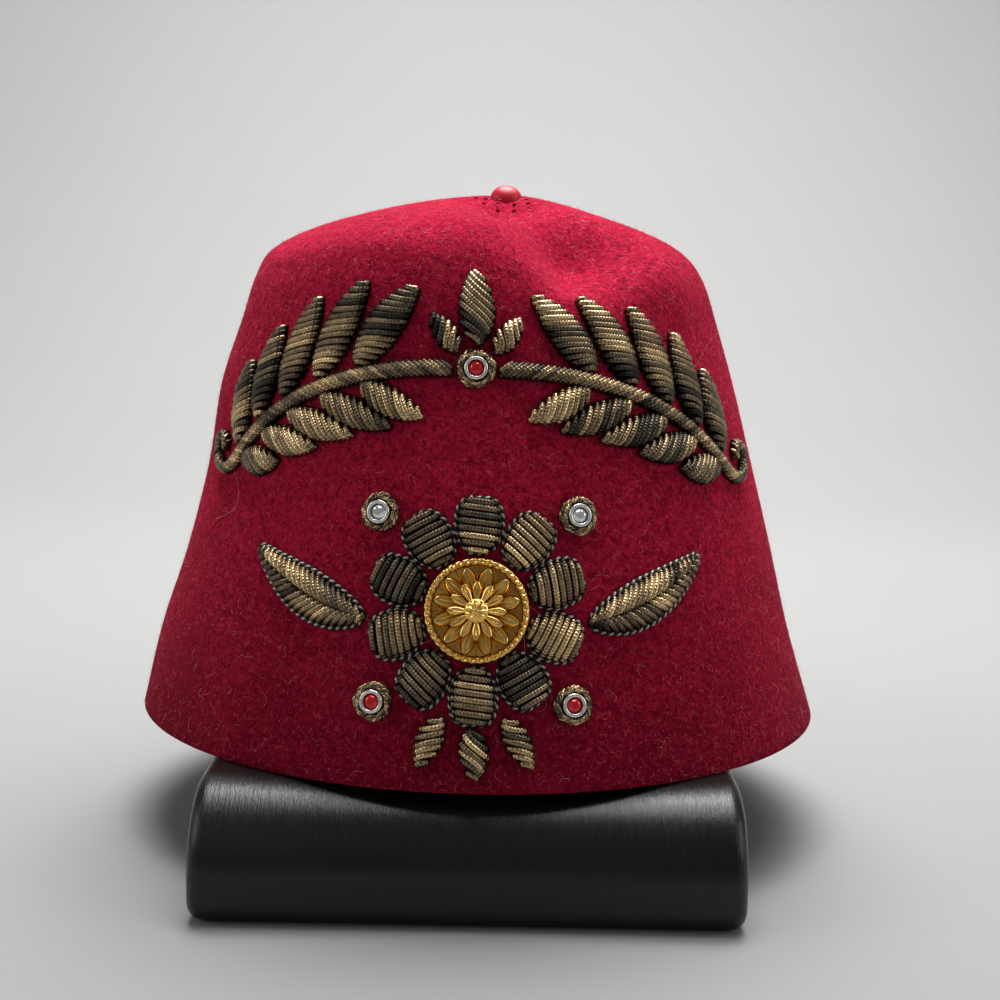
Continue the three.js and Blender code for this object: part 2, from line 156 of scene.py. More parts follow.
class FezFelt(bpy.types.PropertyGroup):
    """Felt crown and its button."""

    wall: FloatProperty(name="Wall", description="Thickness of the felt", default=2.2 * MM, unit="LENGTH")
    sides: IntProperty(name="Sides", description="Faces round the crown", default=224)
    levels: IntProperty(name="Levels", description="Faces from the rim to the top", default=132)
    deep: FloatVectorProperty(
        name="Deep colour", description="Felt between the fibres", subtype="COLOR",
        default=(0.165, 0.0026, 0.0125))
    bright: FloatVectorProperty(
        name="Bright colour", description="Felt at the fibres' tips", subtype="COLOR",
        default=(0.50, 0.0125, 0.050))
    lint: FloatVectorProperty(
        name="Lint colour", description="Pale loose fibres", subtype="COLOR",
        default=(0.85, 0.36, 0.42))
    nap_count: IntProperty(name="Nap", description="Short standing fibres", default=12000)
    lint_count: IntProperty(name="Lint", description="Loose fibres that lie on the felt", default=5200)
    button: FloatVectorProperty(
        name="Button colour", description="Glossy top button", subtype="COLOR",
        default=(0.55, 0.008, 0.030))


class FezEmbroidery(bpy.types.PropertyGroup):
    """Bullion wire, cords and the pads below them."""

    wire: FloatProperty(name="Wire", description="Diameter of the bullion", default=1.7 * MM, unit="LENGTH")
    pad: FloatProperty(name="Pad", description="Height of the padding", default=1.9 * MM, unit="LENGTH")
    slant: FloatProperty(name="Slant", description="Lean of the wires over a leaf", default=0.85)
    cord: FloatProperty(
        name="Cord", description="Diameter of the edging cord", default=1.3 * MM, unit="LENGTH")
    tarnish: FloatVectorProperty(
        name="Tarnish", description="Blackened bullion", subtype="COLOR",
        default=(0.070, 0.060, 0.046))
    bronze: FloatVectorProperty(
        name="Bronze", description="Bullion between dark and bright", subtype="COLOR",
        default=(0.32, 0.225, 0.125))
    gold: FloatVectorProperty(
        name="Gold", description="Bullion that is still bright", subtype="COLOR",
        default=(0.95, 0.70, 0.36))


class FezMetal(bpy.types.PropertyGroup):
    """Boss, bezels and stones."""

    gilt: FloatVectorProperty(
        name="Gilt", description="Polished boss", subtype="COLOR",
        default=(0.93, 0.60, 0.17))
    silver: FloatVectorProperty(
        name="Silver", description="Bezels", subtype="COLOR",
        default=(0.93, 0.91, 0.86))
    red: FloatVectorProperty(
        name="Red glass", description="Red stones", subtype="COLOR",
        default=(0.88, 0.004, 0.010))
    clear: FloatVectorProperty(
        name="Clear glass", description="Clear stones", subtype="COLOR",
        default=(0.92, 0.95, 0.96))


class FezStand(bpy.types.PropertyGroup):
    """Black block below the hat."""

    top_round: FloatProperty(
        name="Top round", description="Radius of the front and back top edges",
        default=22 * MM, unit="LENGTH")
    base_round: FloatProperty(
        name="Base round", description="Radius of the front and back lower edges",
        default=6 * MM, unit="LENGTH")
    end_round: FloatProperty(
        name="End round", description="Radius round both ends", default=4 * MM, unit="LENGTH")
    black: FloatVectorProperty(
        name="Black", description="Satin black cover", subtype="COLOR",
        default=(0.0018, 0.0018, 0.0019))


class FezStage(bpy.types.PropertyGroup):
    """Floor, lights and camera."""

    floor: FloatVectorProperty(
        name="Floor", description="Pale floor and backdrop", subtype="COLOR",
        default=(0.25, 0.25, 0.247))
    camera: FloatVectorProperty(
        name="Camera", description="Place of the camera", subtype="TRANSLATION", unit="LENGTH",
        default=(0.0063, -0.4475, 0.1596))
    pitch: FloatProperty(
        name="Pitch", description="Downward tilt", subtype="ANGLE", default=math.radians(8.45))
    roll: FloatProperty(
        name="Roll", description="Sideways tilt", subtype="ANGLE", default=math.radians(1.1))
    lens: FloatProperty(
        name="Lens", description="Focal length on a 36 mm sensor", default=54, unit="CAMERA")
    overhead: FloatProperty(name="Overhead", description="Power of the soft overhead light", default=12.8)
    fill: FloatProperty(name="Fill", description="Power of the front fill light", default=0.3)
    sides: FloatProperty(name="Sides", description="Power of the fill light at each side", default=2.4)
    sky: FloatProperty(name="Sky", description="Strength of the even light all round", default=0.18)
    backdrop: FloatProperty(name="Backdrop", description="Power of the light on the backdrop", default=33)


# Surface of the felt

def felt_section(level):
    """Rise, half width, half depth and shift at levels counted in rows of SECTIONS."""
    level = np.asarray(level, float)
    rows = np.array(SECTIONS, float)
    below = 2 * rows[0] - rows[1]
    above = 2 * rows[-1] - rows[-2]
    above[0] = rows[-2][0]
    rows = np.vstack([below, rows, above])
    k = np.clip(np.floor(level).astype(int), 0, TOP_LEVEL - 1)
    t = (level - k)[..., None]
    p0, p1, p2, p3 = rows[k], rows[k + 1], rows[k + 2], rows[k + 3]
    curve = 2 * p1 + (p2 - p0) * t + (2 * p0 - 5 * p1 + 4 * p2 - p3) * t**2
    return (curve + (3 * p1 - p0 - 3 * p2 + p3) * t**3) / 2


def felt_point(angle, level):
    """Points on the outside of the felt, in millimetres above the rim's middle."""
    angle = np.asarray(angle, float)
    rise, wide, deep, shift = np.moveaxis(felt_section(level), -1, 0)
    around = angle - OVAL_TURN
    x = shift + wide * np.sin(around)
    y = -deep * np.cos(around)
    turn_cos, turn_sin = math.cos(OVAL_TURN), math.sin(OVAL_TURN)
    point = np.stack([x * turn_cos - y * turn_sin, x * turn_sin + y * turn_cos, rise], -1)
    inward = np.array(HEART) - point
    inward /= np.linalg.norm(inward, axis=-1, keepdims=True)
    push = np.zeros(point.shape[:-1])
    for dent in DENTS:
        away = ((point - np.array(dent["at"])) ** 2).sum(-1)
        push += dent["depth"] * np.exp(-away / dent["reach"] ** 2)
    folds = np.sin(RIPPLE["folds"] * angle + RIPPLE["slope"] * rise) * np.sin(rise / RIPPLE["height"])
    push += RIPPLE["depth"] * folds * np.clip(rise / RIPPLE["fade"], 0, 1)
    return point + inward * push[..., None]


def unit(vectors):
    return vectors / np.maximum(np.linalg.norm(vectors, axis=-1, keepdims=True), 1e-12)


def felt_normal(angle, level):
    step = 0.02
    around = felt_point(angle + step, level) - felt_point(angle - step, level)
    above, below = np.minimum(level + step, TOP_LEVEL), np.maximum(level - step, 0)
    up = felt_point(angle, above) - felt_point(angle, below)
    return unit(np.cross(around, up))


LEVEL_STEPS = np.linspace(0, TOP_LEVEL - 1, 2000)
RISE_STEPS = felt_section(LEVEL_STEPS)[:, 0]


def felt_place(x, rise):
    """Angle and level of a place given round the front and above the rim."""
    level = np.interp(rise, RISE_STEPS, LEVEL_STEPS)
    return np.asarray(x) / felt_section(level)[..., 1], level


def over_felt(x, rise, lift):
    """Points at a height over the felt, in millimetres above the rim's middle."""
    angle, level = felt_place(x, rise)
    return felt_point(angle, level) + felt_normal(angle, level) * np.asarray(lift)[..., None]


def to_frame(points):
    """Millimetres above the rim's middle to metres in the part's frame."""
    return (np.asarray(points) + [0, 0, RIM_HEIGHT]) * MM


def felt_seat(x, rise, lift):
    """Matrix that stands a piece on the felt with its own Z along the felt's normal."""
    angle, level = felt_place(np.array(x, float), np.array(rise, float))
    normal = Vector(felt_normal(angle, level))
    right = Vector((0, 0, 1)).cross(normal).normalized()
    turn = Matrix((right, normal.cross(right), normal)).transposed().to_4x4()
    place = to_frame(over_felt(np.array(x), np.array(rise), np.array(lift)))
    return Matrix.Translation(Vector(place)) @ turn


# Modelling helpers

def deselect_all():
    if bpy.context.mode != "OBJECT":
        bpy.ops.object.mode_set(mode="OBJECT")
    bpy.ops.object.select_all(action="DESELECT")


def make_active(piece):
    deselect_all()
    piece.select_set(True)
    bpy.context.view_layer.objects.active = piece


def name_piece(name):
    piece = bpy.context.object
    piece.name = name
    piece.data.name = name
    return piece


def select_parts(piece, kind, test):
    """In edit mode, selects the vertices, edges or faces whose middle passes a test."""
    bpy.ops.mesh.select_mode(type={"verts": "VERT", "edges": "EDGE", "faces": "FACE"}[kind])
    bpy.ops.mesh.select_all(action="DESELECT")
    shape = bmesh.from_edit_mesh(piece.data)
    for part in getattr(shape, kind):
        middle = part.co if kind == "verts" else sum((v.co for v in part.verts), Vector()) / len(part.verts)
        part.select_set(bool(test(part, middle)))
    shape.select_flush_mode()
    bmesh.update_edit_mesh(piece.data)


def add_modifier(piece, kind, **settings):
    make_active(piece)
    modifier = piece.modifiers.new(kind.title(), kind)
    for name, value in settings.items():
        setattr(modifier, name, value)
    bpy.ops.object.modifier_apply(modifier=modifier.name)


def settle(piece, matrix):
    """Puts a modelled piece in its place, with the place in its mesh."""
    piece.data.transform(matrix)
    piece.matrix_world = Matrix.Identity(4)


def finish_piece(piece, material, slot, *nodes):
    piece.data.materials.clear()
    piece.data.materials.append(material)
    if nodes:
        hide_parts(*nodes)
    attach(piece, "root")


def grid_of(name, columns, rows, shape):
    """A grid primitive whose points are moved to shape(across, along), both from 0 to 1."""
    deselect_all()
    bpy.ops.mesh.primitive_grid_add(x_subdivisions=columns, y_subdivisions=rows, size=1, location=(0, 0, 0))
    piece = name_piece(name)
    flat = np.empty(len(piece.data.vertices) * 3)
    piece.data.vertices.foreach_get("co", flat)
    part = flat.reshape(-1, 3)[:, :2] + 0.5
    piece.data.vertices.foreach_set("co", np.ascontiguousarray(shape(part[:, 0], part[:, 1])).ravel())
    bpy.ops.object.mode_set(mode="EDIT")
    bpy.ops.mesh.select_all(action="SELECT")
    bpy.ops.mesh.remove_doubles(threshold=0.02 * MM)
    bpy.ops.mesh.normals_make_consistent(inside=False)
    bpy.ops.object.mode_set(mode="OBJECT")
    bpy.ops.object.shade_smooth()
    return piece


class WireHeap:
    """Gathers wires and pads into one mesh, with a tone for every point.

    Tone holds the brightness of the wire, how near the point is to an end, and the length along it.
    """

    def __init__(self):
        self.points, self.faces, self.tones = [], [], []
        self.count = 0

    def add(self, points, faces, tones):
        self.points.append(points.reshape(-1, 3))
        self.tones.append(tones.reshape(-1, 4))
        for group in faces:
            self.faces.extend((group + self.count).tolist())
        self.count += len(self.points[-1])

    def tubes(self, paths, radius, up, sides, tones, closed=False, lobes=0.0, twist=None):
        """Round wires along paths (wires, points, 3); lobes and twist make a two-ply cord."""
        wires, steps = paths.shape[:2]
        if closed:
            along = np.roll(paths, -1, 1) - np.roll(paths, 1, 1)
        else:
            along = np.gradient(paths, axis=1)
        along = unit(along)
        side = unit(np.cross(along, np.broadcast_to(up, along.shape)))
        over = np.cross(side, along)
        turn = np.linspace(0, 2 * math.pi, sides, endpoint=False)
        spin = np.zeros((wires, steps, 1)) if twist is None else twist[..., None]
        swell = 1 + lobes * np.cos(2 * (turn - spin))
        reach = (np.broadcast_to(radius, (wires, steps))[..., None] * swell)[..., None]
        ring = np.cos(turn)[:, None] * side[:, :, None] + np.sin(turn)[:, None] * over[:, :, None]
        points = paths[:, :, None] + reach * ring
        tones = np.broadcast_to(tones[:, :, None], (wires, steps, sides, 4)).copy()
        if twist is not None:
            tones[..., 0] = 0.5 + 0.5 * np.cos(turn - spin)
        index = np.arange(wires * steps * sides).reshape(wires, steps, sides)
        ahead = np.roll(index, -1, 1) if closed else index[:, 1:]
        here = index if closed else index[:, :-1]
        quads = np.stack([here, ahead, np.roll(ahead, -1, 2), np.roll(here, -1, 2)], -1).reshape(-1, 4)
        caps = [] if closed else [index[:, 0], index[:, -1, ::-1]]
        self.add(points, [quads, *caps], tones)

    def pad(self, rings):
        """A closed core below the wires, from rings of points; its end tone paints it dark, as shade in the
        gaps between the wires.
        """
        steps, sides = rings.shape[:2]
        index = np.arange(steps * sides).reshape(steps, sides)
        here, ahead = index[:-1], index[1:]
        quads = np.stack([here, np.roll(here, -1, 1), np.roll(ahead, -1, 1), ahead], -1).reshape(-1, 4)
        tones = np.zeros((steps * sides, 4))
        # Full end tone: painted shade on the core where it shows between the wires
        tones[:, 1] = 1
        self.add(rings, [quads, index[:1, ::-1], index[-1:]], tones)

    def build(self, name):
        mesh = bpy.data.meshes.new(name)
        mesh.from_pydata(np.concatenate(self.points).tolist(), [], self.faces)
        tone = mesh.attributes.new("tone", "FLOAT_COLOR", "POINT")
        tone.data.foreach_set("color", np.concatenate(self.tones).astype(np.float32).ravel())
        mesh.polygons.foreach_set("use_smooth", np.ones(len(mesh.polygons), bool))
        mesh.update()
        piece = bpy.data.objects.new(name, mesh)
        bpy.context.scene.collection.objects.link(piece)
        return piece


# Materials

class Shade:
    """A shader value; arithmetic on it adds Math nodes."""

    def __init__(self, finish, socket):
        self.finish = finish
        self.socket = socket

    def _maths(self, operation, first, second):
        return self.finish.node("ShaderNodeMath", {"operation": operation}, {0: first, 1: second})

    def __add__(self, other):
        return self._maths("ADD", self, other)

    def __radd__(self, other):
        return self._maths("ADD", other, self)

    def __sub__(self, other):
        return self._maths("SUBTRACT", self, other)

    def __rsub__(self, other):
        return self._maths("SUBTRACT", other, self)

    def __mul__(self, other):
        return self._maths("MULTIPLY", self, other)

    def __rmul__(self, other):
        return self._maths("MULTIPLY", other, self)

    def sine(self):
        return self._maths("SINE", self, 0.0)


class Finish:
    """A material made of one Principled shader and the nodes that feed it."""

    def __init__(self, name):
        self.material = bpy.data.materials.new(name)
        self.material.use_nodes = True
        self.tree = self.material.node_tree
        self.tree.nodes.clear()
        self.shader = self.tree.nodes.new("ShaderNodeBsdfPrincipled")
        output = self.tree.nodes.new("ShaderNodeOutputMaterial")
        self.tree.links.new(self.shader.outputs[0], output.inputs["Surface"])

    def plug(self, socket, value):
        if isinstance(value, Shade):
            self.tree.links.new(value.socket, socket)
        elif hasattr(value, "__len__") and socket.type == "RGBA":
            socket.default_value = (*value[:3], 1)
        else:
            socket.default_value = value

    def node(self, kind, settings=None, sockets=None, output=0):
        made = self.tree.nodes.new(kind)
        for name, value in (settings or {}).items():
            if name == "stops":
                self.set_stops(made.color_ramp, value)
            else:
                setattr(made, name, value)
        for name, value in (sockets or {}).items():
            self.plug(made.inputs[name], value)
        return Shade(self, made.outputs[output])

    def set_stops(self, ramp, stops):
        while len(ramp.elements) < len(stops):
            ramp.elements.new(1)
        for element, (place, colour) in zip(ramp.elements, stops):
            element.position = place
            element.color = (*colour[:3], 1)

    def place(self, scale=(1, 1, 1)):
        where = self.node("ShaderNodeTexCoord", output="Object")
        if tuple(scale) == (1, 1, 1):
            return where
        return self.node("ShaderNodeMapping", sockets={"Vector": where, "Scale": scale})

    def noise(self, size, detail=2.0, rough=0.5, where=None):
        """Noise from 0 to 1 with patches of about a size in millimetres."""
        sockets = {
            "Vector": where or self.place(), "Scale": 1 / (size * MM), "Detail": detail, "Roughness": rough}
        return self.node("ShaderNodeTexNoise", sockets=sockets, output="Fac")

    def mix(self, factor, first, second):
        return self.node("ShaderNodeMix", {"data_type": "RGBA"}, {0: factor, 6: first, 7: second}, 2)

    def tone(self):
        """Brightness, nearness to an end and length along the wire."""
        colour = self.node("ShaderNodeAttribute", {"attribute_name": "tone"}, output="Color")
        split = self.node("ShaderNodeSeparateColor", sockets={"Color": colour}).socket.node
        return [Shade(self, split.outputs[i]) for i in range(3)]

    def ramp(self, value, stops):
        return self.node("ShaderNodeValToRGB", {"stops": stops}, {"Fac": value})

    def bump(self, height, depth, strength=1.0):
        sockets = {"Height": height, "Distance": depth * MM, "Strength": strength}
        return self.node("ShaderNodeBump", sockets=sockets, output="Normal")

    def shade(self, **sockets):
        for name, value in sockets.items():
            self.plug(self.shader.inputs[name.replace("_", " ").title().replace("Ior", "IOR")], value)
        return self.material


def made_once(build):
    """Keeps one material for each finish."""
    def give(*settings):
        name = build.__name__
        return bpy.data.materials.get(name) or build(Finish(name), *settings)
    return give


@made_once
def napped_felt(finish, felt):
    grain = finish.noise(0.9, detail=4, rough=0.75)
    tufts = finish.noise(2.2, detail=3, rough=0.6)
    clouds = finish.noise(30, detail=3)
    curls = finish.ramp(finish.noise(1.9, detail=1.5), [
        (0.46, (0, 0, 0)), (0.5, (1, 1, 1)), (0.54, (0, 0, 0))])
    broken = finish.ramp(finish.noise(1.4, detail=2), [(0.47, (0, 0, 0)), (0.62, (1, 1, 1))])
    facing = finish.node("ShaderNodeTexCoord", output="Normal")
    upward = finish.node("ShaderNodeSeparateXYZ", sockets={0: facing}, output=2)
    upward = finish.ramp(upward, [(0.1, (0.16, 0.16, 0.16)), (0.9, (0.38, 0.38, 0.38))])
    shade = grain * 3.0 + tufts * 1.5 + clouds * 0.5 - 2.05
    colour = finish.mix(shade, felt.deep, felt.bright)
    rise = finish.node("ShaderNodeSeparateXYZ", sockets={0: finish.place()}, output=2)
    # Painted shade: the felt is darkened towards the rim, as shade falls on the lower wall
    low_wall_shade = finish.ramp((rise - RIM_HEIGHT * MM) * (1 / (60 * MM)) + clouds * 0.3 - 0.15, [
        (0.0, (0.6, 0.6, 0.6)), (1.0, (0, 0, 0))])
    colour = finish.mix(low_wall_shade, colour, tuple(0.35 * c for c in felt.deep))
    fibre = curls * broken * upward
    colour = finish.mix(fibre, colour, tuple(c * f for c, f in zip(felt.lint, (0.9, 0.4, 0.45))))
    height = grain * 0.8 + tufts * 0.7 + fibre * 0.8
    return finish.shade(
        base_color=colour, roughness=0.95 - grain * 0.1, normal=finish.bump(height, 0.5, 1.0),
        specular_ior_level=0.02, sheen_weight=0.07, sheen_roughness=0.4, sheen_tint=(1.0, 0.16, 0.24))


@made_once
def loose_fibre(finish, felt):
    brightness, _, _ = finish.tone()
    colour = finish.mix(brightness, felt.bright, felt.lint)
    return finish.shade(base_color=colour, roughness=0.8, specular_ior_level=0.2)


@made_once
def glossy_button(finish, felt):
    mottle = finish.noise(2.2, detail=3)
    colour = finish.mix(mottle, tuple(0.7 * c for c in felt.button), felt.button)
    return finish.shade(
        base_color=colour, roughness=0.30 + mottle * 0.2, normal=finish.bump(mottle, 0.12, 0.6),
        specular_ior_level=0.35)


@made_once
def bullion_wire(finish, thread):
    brightness, end, along = finish.tone()
    patina = finish.noise(1.6, detail=4, rough=0.7)
    coils = (along * 78).sine()
    # Painted shade: the colour darkens with the end tone, where wires dip into the felt, where nest strands
    # wind under, and on the pad between wires
    value = brightness * 0.9 + patina * 0.5 + coils * 0.07 - 0.22 - end * end * 0.5
    colour = finish.ramp(value, [
        (0.0, tuple(0.2 * c for c in thread.tarnish)), (0.25, thread.tarnish),
        (0.55, thread.bronze), (0.95, thread.gold)])
    height = coils * 0.5 + patina * 0.4
    return finish.shade(
        base_color=colour, metallic=0.95, roughness=0.30 - brightness * 0.12 + patina * 0.1,
        normal=finish.bump(height, 0.12, 0.8))


@made_once
def edging_cord(finish, thread):
    ply, _, _ = finish.tone()
    patina = finish.noise(1.1, detail=3)
    colour = finish.ramp(ply * 0.8 + patina * 0.3 - 0.05, [
        (0.25, (0.012, 0.012, 0.012)), (0.5, (0.07, 0.064, 0.058)), (0.85, (0.46, 0.42, 0.36))])
    return finish.shade(
        base_color=colour, metallic=0.8, roughness=0.36 + patina * 0.2,
        normal=finish.bump(patina, 0.05, 0.6))


@made_once
def polished_gilt(finish, metal):
    rise, _, _ = finish.tone()
    wear = finish.noise(3.0, detail=4)
    scratches = finish.noise(0.5, detail=2, where=finish.place((1, 0.12, 1)))
    deep = tuple(c * f for c, f in zip(metal.gilt, (0.48, 0.36, 0.24)))
    # Painted shade: lower parts of the relief are mixed towards a darker gilt
    colour = finish.mix(rise * 0.85 + wear * 0.35 - 0.1, deep, metal.gilt)
    return finish.shade(
        base_color=colour, metallic=1.0, roughness=0.13 + wear * 0.12 + scratches * 0.05,
        normal=finish.bump(wear * 0.6 + scratches * 0.3, 0.05, 0.5))


@made_once
def bright_bezel(finish, metal):
    wear = finish.noise(0.9, detail=4)
    dull = tuple(0.75 * c for c in metal.silver)
    return finish.shade(
        base_color=finish.mix(wear, dull, metal.silver), metallic=0.85, roughness=0.16 + wear * 0.16,
        normal=finish.bump(wear, 0.03, 0.5))


@made_once
def red_stone(finish, metal):
    depth = finish.noise(1.4, detail=2)
    colour = finish.mix(depth, tuple(0.55 * c for c in metal.red), metal.red)
    return finish.shade(base_color=colour, metallic=0.45, roughness=0.05, ior=1.62, coat_weight=0.6)


@made_once
def clear_stone(finish, metal):
    depth = finish.noise(1.2, detail=2)
    colour = finish.mix(depth, tuple(0.8 * c for c in metal.clear), metal.clear)
    return finish.shade(base_color=colour, metallic=0.8, roughness=0.05, ior=1.62, coat_weight=0.5)


@made_once
def satin_black(finish, stand):
    streaks = finish.noise(0.55, detail=3, rough=0.6, where=finish.place((1, 0.12, 0.12)))
    fine = finish.noise(0.25, detail=2, where=finish.place((1, 0.2, 0.2)))
    rubbed = finish.noise(26, detail=4)
    worn = tuple(2.4 * c for c in stand.black)
    colour = finish.mix(streaks * 0.8 + rubbed * 0.5 - 0.25, stand.black, worn)
    return finish.shade(
        base_color=colour, roughness=0.17 + streaks * 0.18 + rubbed * 0.12,
        normal=finish.bump(streaks * 0.8 + fine * 0.3, 0.16, 0.9), specular_ior_level=0.38)


@made_once
def pale_floor(finish, stage):
    cloud = finish.noise(90, detail=3)
    light = tuple(min(1, 1.04 * c) for c in stage.floor)
    return finish.shade(base_color=finish.mix(cloud, stage.floor, light), roughness=0.9)


# Embroidered strips

class Strip:
    """The middle line of a padded strip over the felt and half its width, in millimetres."""

    def __init__(self, line, half):
        steps = np.linalg.norm(np.diff(line, axis=0), axis=1)
        self.along = np.concatenate([[0], np.cumsum(steps)])
        self.length = self.along[-1]
        heading = unit(np.gradient(line, axis=0))
        self.columns = np.column_stack([line, -heading[:, 1], heading[:, 0], half])
        self.widest = half.max()

    def at(self, along):
        """Point, sideways direction and half width at a length along the strip."""
        found = np.stack([np.interp(along, self.along, column) for column in self.columns.T], -1)
        return found[..., :2], found[..., 2:4], found[..., 4]

    def place(self, along, part, lift, grow=0.0):
        """Points over the felt at part of the half width, from -1 to 1, grown outwards."""
        point, across, half = self.at(along)
        spot = point + across * (half * part + grow * np.sign(part))[..., None]
        return over_felt(spot[..., 0], spot[..., 1], lift)

    def trimmed(self, edge):
        """The same strip with an edge taken off both sides."""
        return Strip(self.columns[:, :2], np.maximum(self.columns[:, 4] - edge, 0.3))

    def pad_height(self, along, pad):
        return pad * np.minimum(1, 0.35 + 0.75 * self.at(along)[2] / self.widest)


def leaf_strip(x, rise, heading, length, half, bend):
    t = np.linspace(0, 1, 80)
    along = np.array([math.cos(heading), math.sin(heading)])
    across = np.array([-along[1], along[0]])
    line = np.array([x, rise]) + length * t[:, None] * along + bend * t[:, None] ** 2 * across
    width = half * (0.14 + 0.86 * np.sin(math.pi * t**0.85).clip(0) ** 0.8)
    return Strip(line, width)


def petal_strip(k):
    heading = 2 * math.pi * (k + 0.5) / FLOWER["petals"]
    along = np.array([math.cos(heading), math.sin(heading)])
    part = np.linspace(0, 1, 80)
    radius = FLOWER["start"] + (FLOWER["end"] - FLOWER["start"]) * part
    room = radius * math.tan(math.pi / FLOWER["petals"]) - FLOWER["gap"] / 2
    rounding = np.sqrt(1 - np.abs(2 * part - 1) ** 3)
    half = np.minimum(room, FLOWER["half"]) * (0.3 + 0.7 * rounding)
    return Strip(np.array([0, FLOWER["rise"]]) + radius[:, None] * along, half)


def stem_line(side, step=0.25):
    """Points of a stem from the knot to the end of its curl; side is 1 on the right and -1 on the left."""
    points = [np.array([side * STEM["start"], STEM["knot_rise"]], float)]
    heading = 0.0
    for done in np.arange(0, STEM["arch"] + STEM["curl"], step):
        wound = (done - STEM["arch"]) / STEM["curl"]
        if wound < 0:
            bend = STEM["arch_turn"] / STEM["arch"]
        else:
            bend = 2 * wound * STEM["curl_turn"] / STEM["curl"]
        heading += bend * step
        points.append(points[-1] + step * np.array([side * math.cos(heading), math.sin(heading)]))
    return np.array(points)


def wire_tones(rng, centre, angle, paths):
    """Tones of laid wires: bright and dark patches, ends marked for painted shade where they dip into the
    felt, and the length along each wire.
    """
    wires, steps = angle.shape
    patches = 0.16 * np.sin(centre / 6.5 + rng.uniform(0, 6.3))
    patches += 0.08 * np.sin(centre / 2.3 + rng.uniform(0, 6.3))
    brightness = np.clip(rng.uniform(0.4, 0.58) + patches + rng.normal(0, 0.12, wires), 0, 1)
    run = np.linalg.norm(np.diff(paths, axis=1, prepend=paths[:, :1]), axis=2).cumsum(1)
    tones = np.zeros((wires, steps, 4))
    tones[..., 0] = brightness[:, None]
    # Nearness to an end, which bullion_wire darkens as painted shade where the wire dips into the felt
    tones[..., 1] = 1 - np.sin(angle)
    tones[..., 2] = run / 10
    return tones


def add_pad(heap, strip, pad, sides=9, steps=18):
    along = np.linspace(0.02, 0.98, steps) * strip.length
    angle = np.linspace(0, math.pi, sides)
    grid_along, grid_angle = np.meshgrid(along, angle, indexing="ij")
    lift = 0.1 + 0.72 * strip.pad_height(grid_along, pad) * np.sin(grid_angle)
    heap.pad(to_frame(strip.place(grid_along, 0.92 * np.cos(grid_angle), lift)))


def lay_wires(heap, strip, rng, thread, slant, points=9):
    """Wires side by side over a strip, from edge to edge, with their ends sewn into the felt."""
    wire, pad = min(thread.wire / MM, 0.75 * strip.widest), thread.pad / MM
    count = max(3, round(strip.length / (WIRE_PITCH * wire)))
    centre = (np.arange(count) + 0.5) * strip.length / count
    centre = centre + rng.normal(0, 0.05 * wire, count)
    reach = slant * strip.at(centre)[2] + 1e-6
    low = np.clip(np.where(reach > 0, -centre, strip.length - centre) / reach, -1, 0)
    high = np.clip(np.where(reach > 0, strip.length - centre, -centre) / reach, 0, 1)
    start, end = np.arccos(-low), np.arccos(-high)
    angle = start[:, None] + (end - start)[:, None] * np.linspace(0, 1, points)
    part = -np.cos(angle)
    along = np.clip(centre[:, None] + reach[:, None] * part, 0, strip.length)
    lift = WIRE_SEAT * wire + strip.pad_height(along, pad) * np.sin(angle) + rng.normal(0, 0.05, (count, 1))
    lift[:, [0, -1]] = -TUCK
    paths = strip.place(along, part, lift)
    angle_up, level_up = felt_place(*strip.at(centre)[0].T)
    up = felt_normal(angle_up, level_up)[:, None]
    radius = 0.5 * wire * rng.normal(1, 0.03, (count, 1)) * np.ones(points)
    heap.tubes(to_frame(paths), radius * MM, up, 8, wire_tones(rng, centre, angle, paths))


def lay_veins(heap, strip, rng, thread, points=9):
    """Wires in two rows that meet along the middle of a leaf, as its veins do."""
    wire, pad = thread.wire / MM, thread.pad / MM
    count = max(4, round(strip.length / (WIRE_PITCH * wire)))
    for side in (-1, 1):
        centre = (np.arange(count) + 0.25 + 0.25 * side) * strip.length / count + rng.normal(0, 0.05, count)
        part = np.linspace(0.06, 1, points)
        reach = 0.95 * strip.at(centre)[2]
        along = np.clip(centre[:, None] + reach[:, None] * (part - 0.6), 0, strip.length)
        angle = math.pi * (0.2 + 0.8 * part) * np.ones((count, 1))
        lift = WIRE_SEAT * wire + strip.pad_height(along, pad) * np.sin(angle)
        lift[:, -1] = -TUCK
        lift[:, 0] -= TUCK
        paths = strip.place(along, side * part * np.ones((count, 1)), lift)
        up = felt_normal(*felt_place(*strip.at(centre)[0].T))[:, None]
        radius = 0.5 * wire * np.ones((count, points))
        heap.tubes(to_frame(paths), radius * MM, up, 8, wire_tones(rng, centre, angle, paths))


def edge_cord(strip, thread, spacing=0.28, pitch=2.1, lobes=0.25):
    """A twisted two-ply cord couched round the edge of a strip."""
    out = 0.02 * thread.cord / MM
    along = np.linspace(0, strip.length, 160)
    edge, lift = np.ones(160), np.full(160, 0.75)
    line = np.concatenate([
        strip.place(along, edge, lift, out), strip.place(along[::-1], -edge, lift, out)])
    loop = np.vstack([line, line[:1]])
    run = np.concatenate([[0], np.linalg.norm(np.diff(loop, axis=0), axis=1).cumsum()])
    count = round(run[-1] / spacing)
    turns = max(1, round(run[-1] / pitch))
    where = np.linspace(0, run[-1], count, endpoint=False)
    path = np.stack([np.interp(where, run, loop[:, i]) for i in range(3)], 1)[None]
    angle, level = felt_place(*strip.at(np.array(strip.length / 2))[0])
    heap = WireHeap()
    twist = 2 * math.pi * turns * np.arange(count)[None] / count
    radius = np.full((1, count), 0.5 * thread.cord / (1 + lobes))
    up, tones = felt_normal(angle, level), np.zeros((1, count, 4))
    heap.tubes(to_frame(path), radius, up, 8, tones, closed=True, lobes=lobes, twist=twist)
    return heap


